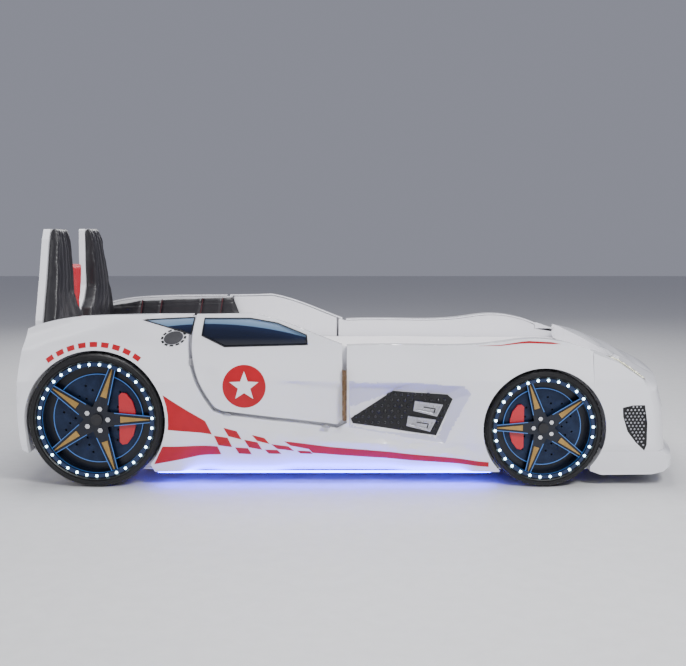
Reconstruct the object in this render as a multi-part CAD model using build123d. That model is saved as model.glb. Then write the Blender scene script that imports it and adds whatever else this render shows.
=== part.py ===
from build123d import *
import os
from math import atan, cos, pi, sin

# A child's single bed in the shape of a racing car.
# X runs from the tail to the nose, Y to the car's left, Z up; the origin is on the
# floor under the middle of the bed.  All lengths are millimetres.
os.makedirs("parts", exist_ok=True)

# ---- driving dimensions ------------------------------------------------------
HALF_WIDTH = 545
BOARD_IN = 459.6          # inner face of a side board, from the middle plane
BOARD_THICK = 18
SHELL_IN = 459            # inner edge of a side shell
SKIN = 5                  # wall of the moulded shells
TAIL_X = -1149
FOOT_X = 887              # rear face of the foot board
NOSE_JOIN = 800           # where the side shells meet the nose shell
SILL_Z = 50
MATTRESS_LENGTH, MATTRESS_WIDTH, MATTRESS_THICK = 1896, 896, 150
MATTRESS_FRONT = 884
DECK_Z = 259              # top of the slats

REAR_AXLE, REAR_HUB_Z, REAR_R, REAR_ARCH = -885, 231, 230, 238
FRONT_AXLE, FRONT_HUB_Z, FRONT_R, FRONT_ARCH = 637, 202, 200, 208
WHEEL_BACK, WHEEL_FACE = 478, 540
SPOKES = 5

HINGE_X, HINGE_Y = -41, 540      # the door's vertical axis
HINGE_LOW, HINGE_HIGH = 232, 404
KNUCKLES = 10
PIN_R, KNUCKLE_R, PIN_CLEAR = 2.5, 5, 0.05
DOOR_GAP = 14
DOOR_STOP = 14            # how far the side board reaches in behind the door's edge
DOOR_PANEL_IN, DOOR_PANEL_THICK = 464, 12
DOOR_HEEL = (-457, 262)   # the ends of the door's sloping lower edge
DOOR_TOE = (-66, 213)

SEAT_Y = 230              # middle of each seat
SEAT_FOOT_Z, SEAT_TOP_Z = 432, 880


# ---- small helpers -----------------------------------------------------------
def outline(*points):
    """A face from (x, z) points joined by straight lines."""
    return make_face(Polyline(*points, close=True))


def slab(face, near, far):
    """A face drawn in (x, z), made solid on the right-hand side between two distances
    from the middle plane."""
    return extrude(Plane.XZ.offset(near) * face, far - near)


def rect(x0, x1, z0, z1):
    return Pos((x0 + x1) / 2, (z0 + z1) / 2) * Rectangle(x1 - x0, z1 - z0)


def block(x0, x1, y0, y1, z0, z1):
    return Pos((x0 + x1) / 2, (y0 + y1) / 2, (z0 + z1) / 2) * Box(x1 - x0, y1 - y0, z1 - z0)


def both(part):
    """A right-hand part and its left-hand twin, as separate solids."""
    return part.solids() + mirror(part, Plane.XZ).solids()


def save(name, parts):
    if not isinstance(parts, (list, tuple)):
        parts = parts.solids()
    shape = parts[0] if len(parts) == 1 else Compound(children=list(parts))
    shape.label = name
    export_step(shape, f"parts/{name}.step")


def save_pair(name, part):
    """Write the right-hand part and its mirrored left-hand twin as two nodes."""
    save(f"right_{name}", part)
    save(f"left_{name}", mirror(part, Plane.XZ))


# ---- body outlines, seen from the side ---------------------------------------
def side_outline(inset=0):
    """The whole side of the car behind the nose, with no arches or door."""
    i = inset
    tail = Spline((-1117 + i, 540 - i), (-1147 + i, 315), (-1135 + i, 131 + i / 2))
    deck = Spline((-1117 + i, 540 - i), (-993, 574 - i), (-825, 586 - i), (-658, 589 - i), (-359, 593 - i))
    screen = Spline((-359, 593 - i), (-292, 578 - i), (-166, 533 - i), (-37, 483 - i))
    rail = Spline((-37, 483 - i), (150, 486 - i), (470, 493 - i), (583, 507 - i), (700, 497 - i),
                  (NOSE_JOIN - i, 465 - i))
    base = Polyline((NOSE_JOIN - i, 465 - i), (NOSE_JOIN - i, SILL_Z + i), (-1000, SILL_Z + i),
                    (-1135 + i, 131 + i / 2))
    return make_face(tail + deck + screen + rail + base)


def arches(lip=0):
    """Both wheel arches, with the cut-back heels of the panels on either side of them."""
    rear = Pos(REAR_AXLE, REAR_HUB_Z) * Circle(REAR_ARCH + lip)
    rear += outline((-800, 20), (-676 + lip, 20), (-702 + lip, 79), (-800, 79))
    rear += outline((-1050, 250), (-1121 - lip, 215), (-1113 - lip, 100), (-1050, 60))
    front = Pos(FRONT_AXLE, FRONT_HUB_Z) * Circle(FRONT_ARCH + lip)
    front += outline((560, 20), (480 - lip, 20), (492 - lip, 62), (560, 62))
    front += rect(FRONT_AXLE, NOSE_JOIN + 1, 20, FRONT_HUB_Z)
    return rear + front


def door_outline(gap=0):
    """The door, or with a gap the opening that it closes."""
    heel_x, heel_z = DOOR_HEEL
    toe_x, toe_z = DOOR_TOE
    edge = HINGE_X - 8 + gap * 1.15
    top = (-521 - gap, 640)
    corner = (heel_x - 25 - gap / 2, heel_z + 12 - gap)
    rear = Spline(top, (-553 - gap, 430), corner)
    low = Polyline(corner, (heel_x, heel_z - gap), (toe_x, toe_z - gap), (edge, toe_z + 17 - gap),
                   (edge, 640), top)
    return make_face(rear + low)


def body_section(inset=0):
    """The right-hand half of the car seen from the front: full at the waist, leaning in at
    the roof and tucked under at the sill.  It bounds every outer skin."""
    wide = HALF_WIDTH - inset
    section = make_face(Polyline((0, -10), (-(wide - 26), -10), (-(wide - 22), SILL_Z), (-wide, 150),
                                 (-wide, 365), (-(wide - 25), 490), (-(wide - 34), 700), (0, 700),
                                 close=True))
    return extrude(Plane.YZ.offset(TAIL_X - 20) * section, 2400)


def whole_section(inset=0):
    half = body_section(inset)
    return half + mirror(half, Plane.XZ)


def skin_shell(face, hollow, near):
    """A moulded shell of even wall, open on its inner side."""
    outer = slab(face, near, HALF_WIDTH) & body_section()
    inner = slab(hollow, near - 1, HALF_WIDTH) & body_section(SKIN)
    return outer - inner


WINDOW = outline((-514, 576), (-360, 576), (-268, 560), (-170, 520), (-166, 487), (-448, 480), (-524, 518))
QUARTER = outline((-722, 571), (-548, 579), (-560, 522))

# The cove behind the front wheel: its lip on the skin, and its floor that holds the grille.
COVE_LIP = ((-26, 372), (196, 361), (368, 349), (390, 322), (303, 146), (-26, 200))
COVE_FLOOR = ((-22, 232), (124, 329), (311, 317), (331, 300), (275, 170), (-14, 212))
COVE_DEPTH_Y = 510
CORNER_GRILLE = outline((898, 277), (930, 285), (973, 286), (983, 225), (983, 150), (977, 128), (945, 158),
                        (916, 196), (900, 246))


def cove(wall=0):
    """The hollow of the cove, grown by a wall for the pan that lines it."""
    floor = Plane.XZ.offset(COVE_DEPTH_Y - wall) * offset(outline(*COVE_FLOOR), wall, kind=Kind.INTERSECTION)
    lip = Plane.XZ.offset(HALF_WIDTH + 1) * offset(outline(*COVE_LIP), wall, kind=Kind.INTERSECTION)
    return loft([floor, lip], ruled=True)


def side_shell():
    whole, inside = side_outline(), side_outline(SKIN)
    open_face = whole - arches() - door_outline(DOOR_GAP)
    hollow = inside - arches(SKIN) - door_outline(DOOR_GAP + SKIN)
    shell = skin_shell(open_face, hollow, WHEEL_BACK)
    rim = slab(whole - door_outline(DOOR_GAP), SHELL_IN, WHEEL_BACK)
    rim -= slab(inside + rect(NOSE_JOIN - 20, NOSE_JOIN + 1, 56, 440), SHELL_IN - 1, WHEEL_BACK + 1)
    pane = slab(offset(QUARTER, 0.3, kind=Kind.INTERSECTION), 500, HALF_WIDTH)
    opening = slab(door_outline(DOOR_GAP), SHELL_IN, HALF_WIDTH)
    pan = cove(SKIN) & body_section()
    return (shell + rim + pan) - cove() - pane - opening


def side_board():
    ahead = outline((700, 58), (935, 58), (935, 372), (888, 426), (800, 440), (700, 440))
    face = side_outline(7) + ahead - door_outline(-DOOR_STOP) - rect(-1200, -1105, 0, 700)
    return slab(face, BOARD_IN, BOARD_IN + BOARD_THICK)


# ---- frame inside the body ---------------------------------------------------
def frame():
    inner = SHELL_IN - 0.2
    save_pair("side_board", side_board())
    save("head_board", block(-1108, -1090, -inner, inner, 136, 430))
    save("foot_board", block(FOOT_X, FOOT_X + 18, -inner, inner, 58, 440))
    rail = block(-1089, FOOT_X - 1, -inner, -inner + 40, 190, 240)
    beam = block(-1089, FOOT_X - 1, -20, 20, 190, 240)
    save("deck_rails", both(rail) + beam.solids())
    save("slats", [block(x, x + 70, -inner, inner, 240, 258).solids()[0] for x in range(-1000, 860, 148)])
    spots = [(x, y) for x in (REAR_AXLE, FRONT_AXLE) for y in (-inner + 20, inner - 20)]
    spots += [(x, 0) for x in (-560, 330)]
    save("legs", [block(x - 20, x + 20, y - 20, y + 20, 12, 190).solids()[0] for x, y in spots])
    save("feet", [(Pos(x, y, 6) * Cylinder(24, 12)).solids()[0] for x, y in spots])
    return inner


def brackets(inner):
    """Steel angles that tie the boards together, and the screws through them."""
    angles, screws = [], []
    for corner, way in ((-1090, 1), (FOOT_X + 18, 1)):
        for z in (138, 330):
            flat = block(corner, corner + 3, -inner, -inner + 34, z, z + 50)
            side = block(corner, corner + 28, -inner, -inner + 3, z, z + 50)
            angles += both(flat + side)
            for rise in (14, 36):
                head = Pos(corner + 5 * way, -inner + 20, z + rise) * Rot(0, 90, 0) * Cylinder(5, 4)
                other = Pos(corner + 17, -inner + 5, z + rise) * Rot(90, 0, 0) * Cylinder(5, 4)
                screws += both(head) + both(other)
    save("corner_brackets", angles)
    save("frame_screws", screws)


def mattress():
    pad = block(MATTRESS_FRONT - MATTRESS_LENGTH, MATTRESS_FRONT, -MATTRESS_WIDTH / 2, MATTRESS_WIDTH / 2,
                DECK_Z, DECK_Z + MATTRESS_THICK)
    save("mattress", fillet(pad.edges(), 18))


# ---- nose, tail and splitter ---------------------------------------------------
def nose_reach(y):
    """How far the nose bows forward at a distance y from the middle, less its rounded corner."""
    f = min(abs(y) / HALF_WIDTH, 1)
    return 84 * (1 - f ** 2.2) - 30 * f ** 30


def nose_section(y, inset=0):
    """The nose cut lengthways at a distance y from the middle."""
    droop = min(abs(y) / HALF_WIDTH, 1) ** 2
    reach, i = nose_reach(y), inset
    points = [(780, 127.5 - i), (780, 501 - 36 * droop - i), (890, 478 - 56 * droop - i),
              (966 - i, 450 - 80 * droop - i), (1015 + 0.92 * reach - i, 377 - 45 * droop - i),
              (1031 + reach - i, 275), (1042 + reach - i, 127.5 - i)]
    return Plane.XZ.offset(-y) * outline(*points)


def lip_section(y):
    """The lip below the nose, cut the same way: rounded in front and swept up to the chin."""
    reach = nose_reach(y)
    points = [(NOSE_JOIN - 2, 127), (NOSE_JOIN - 2, 54), (838, 40), (1012 + reach, 42), (1052 + reach, 52),
              (1068 + reach, 66), (1071 + reach, 94), (1066 + reach, 112), (1046 + reach, 127)]
    return Plane.XZ.offset(-y) * outline(*points)


def bowed(section):
    """A body lofted across the car, through sections that close up towards its corners."""
    return loft([section(HALF_WIDTH * sin(step * pi / 12)) for step in range(-6, 7)])


def nose_solid(inset=0):
    return bowed(lambda y: nose_section(y, inset)) & whole_section(inset)


def nose_skin(top, bottom, region):
    """A piece of the nose's skin between two depths, where it passes through a region."""
    return (nose_solid(top) - nose_solid(bottom)) & region


def lens_region():
    corners = [(852, -478), (915, -463), (972, -482), (984, -512), (955, -526), (900, -510)]
    plan = make_face(Polyline(*corners, close=True))
    return Pos(0, 0, 330) * extrude(plan, 200)


def mouth_region():
    return block(1060, 1160, -255, 255, 165, 250)


def nose_shell():
    """The bonnet and bumper in one moulding, open behind the curved rear edge of the bonnet,
    with a rolled wall along that edge and pockets for the lenses and grilles."""
    shell = nose_solid() - nose_solid(SKIN + 1)
    left, right = (888, SHELL_IN), (888, -SHELL_IN)
    rear_arc = ThreePointArc(right, (797, 0), left)
    cockpit = make_face(rear_arc + Polyline(left, (700, SHELL_IN), (700, -SHELL_IN), right))
    rolled = Pos(0, 0, 442) * extrude(Pos(4, 0) * cockpit - cockpit, 80)
    sides = block(NOSE_JOIN, 892, -SHELL_IN - 4, SHELL_IN + 4, 442, 520)
    sides -= block(780, 900, -SHELL_IN, SHELL_IN, 0, 600)
    shell -= Pos(0, 0, 100) * extrude(cockpit, 500)
    shell += (rolled + sides) & nose_solid()
    shell -= block(700, NOSE_JOIN + 0.1, -600, 600, 0, 600)
    well = block(700, FOOT_X + 19, -SHELL_IN, SHELL_IN, 0, 442)
    shell -= well + front_arches()
    pockets = nose_skin(-1, 3, lens_region()) + nose_skin(-1, 4, slab(CORNER_GRILLE, 380, 560))
    return shell - pockets - mirror(pockets, Plane.XZ) - nose_skin(-1, 4, mouth_region())


def front_arches():
    arch = slab(Pos(FRONT_AXLE, FRONT_HUB_Z) * Circle(FRONT_ARCH), WHEEL_BACK, HALF_WIDTH + 1)
    return arch + mirror(arch, Plane.XZ)


def splitter():
    lip = bowed(lip_section) & whole_section()
    return lip - block(700, 1030, -479, 479, 0, 200) - front_arches()


def tail_shell():
    outer = Spline((-1119, 525), (-1147, 315), (-1135, 131))
    inner = Spline((-1130, 131), (-1142, 315), (-1114, 525))
    face = make_face(outer + Line((-1135, 131), (-1130, 131)) + inner + Line((-1114, 525), (-1119, 525)))
    half = SHELL_IN - 0.5
    return Pos(0, half, 0) * (slab(face, 0, 2 * half))


def nose_trim():
    save("headlight_lenses", both(nose_skin(0, 3, lens_region())))
    corners = both(nose_skin(2, 4, slab(CORNER_GRILLE, 380, 560)))
    save("nose_grilles", corners + nose_skin(2, 4, mouth_region()).solids())


def body():
    save_pair("side_shell", side_shell())
    save("nose_shell", nose_shell())
    nose_trim()
    save("front_splitter", splitter())
    save("tail_shell", tail_shell())


# ---- doors ---------------------------------------------------------------------
def door_skin():
    shell = skin_shell(side_outline() & door_outline(), side_outline(SKIN) & door_outline(-SKIN), WHEEL_BACK)
    glass = offset(WINDOW, 0.3, kind=Kind.INTERSECTION)
    return shell - slab(glass, 500, HALF_WIDTH)


def door_panel():
    face = side_outline(8) & door_outline(-DOOR_STOP - 8)
    return slab(face, DOOR_PANEL_IN, DOOR_PANEL_IN + DOOR_PANEL_THICK)


def hinge_leaf(first, plate_x, wall_x):
    """Every second knuckle of the piano hinge, with its plate."""
    step = (HINGE_HIGH - HINGE_LOW) / KNUCKLES
    near, far = sorted((plate_x, wall_x))
    leaf = block(near, far, -HINGE_Y + 1, -HINGE_Y + 30, HINGE_LOW, HINGE_HIGH)
    near, far = sorted((HINGE_X, wall_x))
    for index in range(KNUCKLES):
        z = HINGE_LOW + index * step
        barrel = Pos(HINGE_X, -HINGE_Y, z + step / 2) * Cylinder(KNUCKLE_R + 0.6, step)
        tab = block(near, far, -HINGE_Y, -HINGE_Y + 5, z + 0.2, z + step - 0.2)
        if index % 2 == first:
            leaf += Pos(HINGE_X, -HINGE_Y, z + step / 2) * Cylinder(KNUCKLE_R, step - 0.4) + tab
        else:
            leaf -= barrel
    pin_hole = Pos(HINGE_X, -HINGE_Y, (HINGE_LOW + HINGE_HIGH) / 2) * Cylinder(PIN_R + PIN_CLEAR, 300)
    return leaf - pin_hole


def doors():
    save_pair("door_skin", door_skin())
    save_pair("door_panel", door_panel())
    save_pair("door_window", slab(WINDOW, 502, 508))
    save_pair("hinge_leaf", hinge_leaf(0, HINGE_X + 6, HINGE_X + 8))
    save_pair("door_leaf", hinge_leaf(1, HINGE_X - 8, HINGE_X - 6))
    pin = Pos(HINGE_X, -HINGE_Y, (HINGE_LOW + HINGE_HIGH) / 2) * Cylinder(PIN_R, HINGE_HIGH - HINGE_LOW)
    save("hinge_pins", both(pin))
    save("quarter_windows", both(slab(QUARTER, 509, 513)))
    rests = [door_rest(x) for x in (-440, -105)]
    save("door_rests", [solid for rest in rests for solid in both(rest)])
    save("door_magnets", both(block(-565, -558.4, -526, -508, 420, 440)))
    save_pair("door_strike", block(-557, -555, -526, -508, 418, 442))


def door_rest(x):
    """A low domed rubber buffer on the sloping sill of the door opening."""
    radius, height = 17, 8
    slope = (DOOR_TOE[1] - DOOR_HEEL[1]) / (DOOR_TOE[0] - DOOR_HEEL[0])
    dome = Pos(0, height - radius) * Circle(radius) & rect(-radius, radius, 0, radius)
    sill = DOOR_HEEL[1] + 0.2 - DOOR_GAP + slope * (x - DOOR_HEEL[0])
    return slab(Pos(x, sill) * Rot(0, 0, atan(slope) * 180 / pi) * dome, 500, 522)


# ---- side trim -------------------------------------------------------------------
def scoop(x, z):
    """An intake scoop: a slanting tray with a raised rim."""
    face = outline((x, z), (x + 96, z - 13), (x + 76, z - 54), (x - 5, z - 34))
    tray = offset(face, -6, kind=Kind.INTERSECTION)
    return slab(face, COVE_DEPTH_Y + 3, COVE_DEPTH_Y + 20) - slab(tray, COVE_DEPTH_Y + 9, HALF_WIDTH)


def side_trim():
    floor = offset(outline(*COVE_FLOOR), -2, kind=Kind.INTERSECTION)
    save("vent_meshes", both(slab(floor, COVE_DEPTH_Y, COVE_DEPTH_Y + 3)))
    save("vent_scoops", both(scoop(199, 294)) + both(scoop(176, 241)))
    cap = Pos(-619, 511) * Rot(0, 0, 15) * Ellipse(33, 21)
    save("fuel_caps", both(slab(cap, 520.5, 524)))
    save("underglow_strips", both(block(-680, 460, -512, -500, SILL_Z - 5, SILL_Z)))


# ---- wheels ------------------------------------------------------------------------
def at_wheel(face, x, z):
    """A face drawn about the origin, moved to a wheel's hub."""
    return Pos(x, z) * face


def spoke_face(r, inner, outer, root, tip, turn):
    """The five-pointed star of a wheel, as tapered bars from the hub."""
    bar = make_face(Polyline((inner * r, -root * r), (outer * r, -tip * r), (outer * r, tip * r),
                             (inner * r, root * r), close=True))
    return [Rot(0, 0, turn + index * 360 / SPOKES) * bar for index in range(SPOKES)]


def wheel_parts(x, z, r, turn):
    """All the pieces of one right-hand wheel, keyed by the node that holds them."""
    def ring(outside, inside, near, far):
        return slab(at_wheel(Circle(outside * r) - Circle(inside * r), x, z), near, far)

    def disc(radius, near, far):
        return slab(at_wheel(Circle(radius * r), x, z), near, far)

    tyre = ring(1, 0.868, WHEEL_BACK + 1, WHEEL_FACE)
    shoulder = [edge for edge in tyre.edges() if edge.length > 1.95 * pi * r]
    rim = ring(0.865, 0.80, WHEEL_BACK + 1, 529) + disc(0.81, WHEEL_BACK + 1, 483) + disc(0.2, 483, 516)
    for bar in spoke_face(r, 0.12, 0.82, 0.115, 0.046, turn):
        rim += slab(at_wheel(bar, x, z), 505, 516)
    brake = ring(0.655, 0.21, 487, 493)
    for row, radius in enumerate((0.34, 0.43, 0.52)):
        for index in range(12):
            angle = 2 * pi * (index + row / 3) / 12
            hole = at_wheel(Circle(0.018 * r), x + radius * r * cos(angle), z + radius * r * sin(angle))
            brake -= slab(hole, 486, 494)
    side = 1 if turn == 0 else -1
    half = [(0.32, 0.35), (0.36, 0.39), (0.43, 0.38), (0.52, 0.26), (0.56, 0.12)]
    claw = outline(*[(out * r, up * r) for out, up in half + [(out, -up) for out, up in reversed(half)]])
    caliper = at_wheel(claw if side > 0 else mirror(claw, Plane.YZ), x, z)
    inserts = spoke_face(r, 0.35, 0.79, 0.046, 0.005, turn)
    nuts, radius = [], 0.168 * r
    for index in range(5):
        angle = (turn + index * 72) * pi / 180
        nut = at_wheel(RegularPolygon(0.038 * r, 6), x + radius * cos(angle), z + radius * sin(angle))
        nuts.append(slab(nut, 516, 522))
    return {
        "tyre": [fillet(shoulder, 14)],
        "rim": [rim],
        "brake_discs": [brake],
        "calipers": [slab(caliper, 494, 504)],
        "spoke_inserts": [slab(at_wheel(face, x, z), 516, 519) for face in inserts],
        "led_rings": [ring(0.862, 0.805, 529, 533)],
        "lug_nuts": nuts,
        "hub_caps": [disc(0.085, 516, 524)],
    }


def wheels():
    shared = {}
    for place, x, z, r, turn in (("rear", REAR_AXLE, REAR_HUB_Z, REAR_R, 0),
                                 ("front", FRONT_AXLE, FRONT_HUB_Z, FRONT_R, 180)):
        for name, parts in wheel_parts(x, z, r, turn).items():
            if name in ("tyre", "rim"):
                save_pair(f"{place}_{name}", parts[0])
            else:
                shared.setdefault(name, []).extend(solid for part in parts for solid in both(part))
    for name, solids in shared.items():
        save(name, solids)


# ---- seats and padding ---------------------------------------------------------------
def seat_front(inset=0):
    """The right-hand seat seen from the front, as (y, z) points: broad at the foot, waisted
    inboard where the red pad fits, and narrow at the headrest."""
    i = inset
    foot, top = SEAT_FOOT_Z + i, SEAT_TOP_Z - i
    outboard = [(200 - i, foot), (195 - i, 560), (140 - i, 700), (92 - i, 840), (68 - i, top)]
    inboard = [(-68 + i, top), (-76 + i, 760), (-76 + i, 650), (-112 + i, 600), (-168 + i, 560),
               (-200 + i, foot)]
    return [(-SEAT_Y - out, z) for out, z in outboard + inboard]


def across(points, x0, x1):
    """A face of (y, z) points made solid between two places along the car."""
    return extrude(Plane.YZ.offset(x0) * make_face(Polyline(*points, close=True)), x1 - x0)


def seats():
    shell = across(seat_front(4), -1113, -1089)
    save("seat_shells", both(fillet(shell.edges().filter_by(Axis.X), 9)))
    side = outline((-1088.5, SEAT_FOOT_Z), (-1044, SEAT_FOOT_Z), (-1040, 520), (-1046, 700), (-1056, 845),
                   (-1066, SEAT_TOP_Z), (-1088.5, SEAT_TOP_Z))
    pad = across(seat_front(), -1088.5, -1030)
    save_pair("seat_cushion", pad & slab(side, 0, 500))
    half = [(27, SEAT_FOOT_Z), (27, 590), (56, 700), (66, 741)]
    centre = across(half + [(-y, z) for y, z in reversed(half)], -1112, -1080)
    save("seat_centre_pad", centre)
    quilt = outline((-1074, 413), (-1074, 544), (-935, 570), (-768, 577), (-520, 585), (-490, 505),
                    (-478, 413))
    save("side_paddings", both(slab(quilt, 440, 458)))


# ---- electrics -------------------------------------------------------------------------
def electrics():
    face = -1138
    middle = 94
    flange = block(-1107, -1091, -114, -26, 124, 135.9)
    box = block(face, -1091, -120, -20, 64, 124) + flange
    pocket = block(face - 1, face + 14, -100, -84, middle - 13, middle + 13)
    socket = Pos(face, -45, middle) * Rot(0, 90, 0) * Cylinder(6, 24)
    save("control_box", box - pocket - socket)
    rocker = Pos(face + 6, 0, middle) * Rot(90, 0, 0) * Cylinder(5, 15)
    rocker += block(face - 2, face + 6, -7.5, 7.5, middle - 11, middle + 11)
    rocker = Pos(face + 6, 0, middle) * Rot(0, 7, 0) * Pos(-face - 6, 0, -middle) * rocker
    save("rocker_switch", Pos(0, -92, 0) * rocker)
    inlet = Cylinder(6, 11) - Pos(0, 0, -2) * Cylinder(3.2, 9) + Pos(0, 0, -1) * Cylinder(1, 9)
    save("dc_inlet", Pos(face + 6.5, -45, middle) * Rot(0, 90, 0) * inlet)


def build():
    inner = frame()
    brackets(inner)
    mattress()
    body()
    doors()
    side_trim()
    wheels()
    seats()
    electrics()


build()
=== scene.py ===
from math import cos, exp, hypot, pi, radians, sin

import bmesh
import bpy
from mathutils import Matrix, Vector, noise as wander
from mathutils.bvhtree import BVHTree


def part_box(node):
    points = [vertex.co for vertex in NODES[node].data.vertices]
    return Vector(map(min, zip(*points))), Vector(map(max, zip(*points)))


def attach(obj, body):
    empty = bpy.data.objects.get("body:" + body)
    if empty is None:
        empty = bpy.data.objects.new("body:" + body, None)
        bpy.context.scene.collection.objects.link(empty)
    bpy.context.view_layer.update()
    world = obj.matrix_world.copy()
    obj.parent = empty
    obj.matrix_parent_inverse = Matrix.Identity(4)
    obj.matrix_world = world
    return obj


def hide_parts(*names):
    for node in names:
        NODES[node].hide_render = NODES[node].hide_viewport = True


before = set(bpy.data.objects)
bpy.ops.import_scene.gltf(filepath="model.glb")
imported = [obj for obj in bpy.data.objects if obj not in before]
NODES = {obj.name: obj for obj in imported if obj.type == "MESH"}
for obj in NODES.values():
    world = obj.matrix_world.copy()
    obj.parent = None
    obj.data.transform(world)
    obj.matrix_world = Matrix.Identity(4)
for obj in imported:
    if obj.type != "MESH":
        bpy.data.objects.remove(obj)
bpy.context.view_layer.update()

# ---- sizes, in metres, in the part's own frame -------------------------------------
SIDES = {"right": -1, "left": 1}
REAR_AXLE, REAR_HUB_Z, REAR_R, REAR_ARCH = -0.885, 0.231, 0.230, 0.238
FRONT_AXLE, FRONT_HUB_Z, FRONT_R, FRONT_ARCH = 0.637, 0.202, 0.200, 0.208
WHEELS = {"rear": (REAR_AXLE, REAR_HUB_Z, REAR_R), "front": (FRONT_AXLE, FRONT_HUB_Z, FRONT_R)}
FIRST_SPOKE = {"rear": 0.0, "front": pi}
SPOKES = 5
LED_COUNT = {"rear": 35, "front": 30}
TYRE_FACE, TYRE_BACK = 0.540, 0.480
SHELL_BACK = 0.478                # inner edge of the moulded sides
LIFT = 0.0007                     # how far a printed film stands off the skin
CAP_X, CAP_Z = -0.619, 0.511      # middle of the fuel cap
ROUNDEL_X, ROUNDEL_Z = -0.381, 0.346
SEAT_Y, SEAT_TOP = 0.230, 0.885   # middle of a seat, and just above its cushion
MATTRESS_FRONT, MATTRESS_BACK, MATTRESS_HALF = 0.884, -1.012, 0.448


# ---- small helpers ------------------------------------------------------------------
def step(low, high, value):
    """0 before low, 1 past high, smooth between; low may be the larger, for a falling step."""
    t = min(max((value - low) / (high - low), 0.0), 1.0)
    return t * t * (3 - 2 * t)


def plateau(a, b, c, d, value):
    """Rises from a to b, stays 1 to c, falls to d."""
    return step(a, b, value) * (1 - step(c, d, value))


def mix(a, b, t):
    return a + (b - a) * t


def new_object(name, bm, material, body):
    mesh = bpy.data.meshes.new(name)
    bm.normal_update()
    bm.to_mesh(mesh)
    bm.free()
    obj = bpy.data.objects.new(name, mesh)
    bpy.context.scene.collection.objects.link(obj)
    obj.data.materials.append(material)
    if body:
        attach(obj, body)
    return obj


def smooth(obj, angle=35):
    """Rounded shading, with creases sharper than the angle kept."""
    obj.data.shade_smooth()
    obj.data.set_sharp_from_angle(angle=radians(angle))
    return obj


def bevel(obj, width, segments=2, angle=35):
    mod = obj.modifiers.new("edge_round", "BEVEL")
    mod.width = width
    mod.segments = segments
    mod.limit_method = "ANGLE"
    mod.angle_limit = radians(angle)
    mod.harden_normals = False
    return obj


def subdivide(obj, levels=1):
    mod = obj.modifiers.new("subdivision", "SUBSURF")
    mod.levels = levels
    mod.render_levels = levels
    return obj


def apply_modifiers(obj):
    depsgraph = bpy.context.evaluated_depsgraph_get()
    mesh = bpy.data.meshes.new_from_object(obj.evaluated_get(depsgraph))
    obj.modifiers.clear()
    obj.data = mesh
    return obj


# ---- materials -------------------------------------------------------------------------
def material(name, color, rough, metal=0.0, coat=0.0, sheen=0.0):
    mat = bpy.data.materials.new(name)
    mat.use_nodes = True
    shader = mat.node_tree.nodes["Principled BSDF"]
    shader.inputs["Base Color"].default_value = (*color, 1)
    shader.inputs["Roughness"].default_value = rough
    shader.inputs["Metallic"].default_value = metal
    shader.inputs["Coat Weight"].default_value = coat
    shader.inputs["Coat Roughness"].default_value = 0.06
    shader.inputs["Sheen Weight"].default_value = sheen
    return mat


def node(mat, kind, **values):
    made = mat.node_tree.nodes.new(kind)
    for key, value in values.items():
        if key in made.inputs:
            made.inputs[key].default_value = value
        else:
            setattr(made, key, value)
    return made


def link(mat, a, b):
    mat.node_tree.links.new(a, b)


def where(mat):
    return node(mat, "ShaderNodeTexCoord").outputs["Object"]


def noise(mat, scale, detail=4.0, rough=0.55, stretch=(1, 1, 1)):
    mapping = node(mat, "ShaderNodeMapping")
    mapping.inputs["Scale"].default_value = stretch
    link(mat, where(mat), mapping.inputs["Vector"])
    tex = node(mat, "ShaderNodeTexNoise", Scale=scale, Detail=detail, Roughness=rough)
    link(mat, mapping.outputs[0], tex.inputs["Vector"])
    return tex.outputs["Fac"]


def ramp(mat, value, stops):
    made = node(mat, "ShaderNodeValToRGB")
    elements = made.color_ramp.elements
    while len(elements) < len(stops):
        elements.new(0.5)
    for element, (position, color) in zip(elements, stops):
        element.position = position
        element.color = (*color, 1)
    link(mat, value, made.inputs["Fac"])
    return made.outputs["Color"]


def vary(mat, color, other, scale, low=0.35, high=0.65):
    """Clouds of a second colour, and of roughness, over the base."""
    shader = mat.node_tree.nodes["Principled BSDF"]
    cloud = noise(mat, scale)
    link(mat, ramp(mat, cloud, [(low, color), (high, other)]), shader.inputs["Base Color"])
    rough = shader.inputs["Roughness"].default_value
    span = node(mat, "ShaderNodeMapRange")
    span.inputs["To Min"].default_value = rough * 0.8
    span.inputs["To Max"].default_value = min(rough * 1.25, 1.0)
    link(mat, noise(mat, scale * 2.7), span.inputs["Value"])
    link(mat, span.outputs["Result"], shader.inputs["Roughness"])


def bump(mat, height, strength, distance):
    shader = mat.node_tree.nodes["Principled BSDF"]
    made = node(mat, "ShaderNodeBump", Strength=strength, Distance=distance)
    link(mat, height, made.inputs["Height"])
    link(mat, made.outputs["Normal"], shader.inputs["Normal"])
    return mat


def glow(mat, color, strength):
    shader = mat.node_tree.nodes["Principled BSDF"]
    shader.inputs["Emission Color"].default_value = (*color, 1)
    shader.inputs["Emission Strength"].default_value = strength


def gloss_plastic(name, color, other, rough=0.16, coat=0.6):
    mat = material(name, color, rough, coat=coat)
    vary(mat, color, other, 3.5)
    return bump(mat, noise(mat, 380, 2), 0.05, 0.0002)


def leather(name, color, other, rough=0.42):
    mat = material(name, color, rough, coat=0.12)
    vary(mat, color, other, 9)
    cells = node(mat, "ShaderNodeTexVoronoi", Scale=420.0)
    cells.feature = "DISTANCE_TO_EDGE"
    link(mat, where(mat), cells.inputs["Vector"])
    return bump(mat, cells.outputs["Distance"], 0.5, 0.0007)


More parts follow.
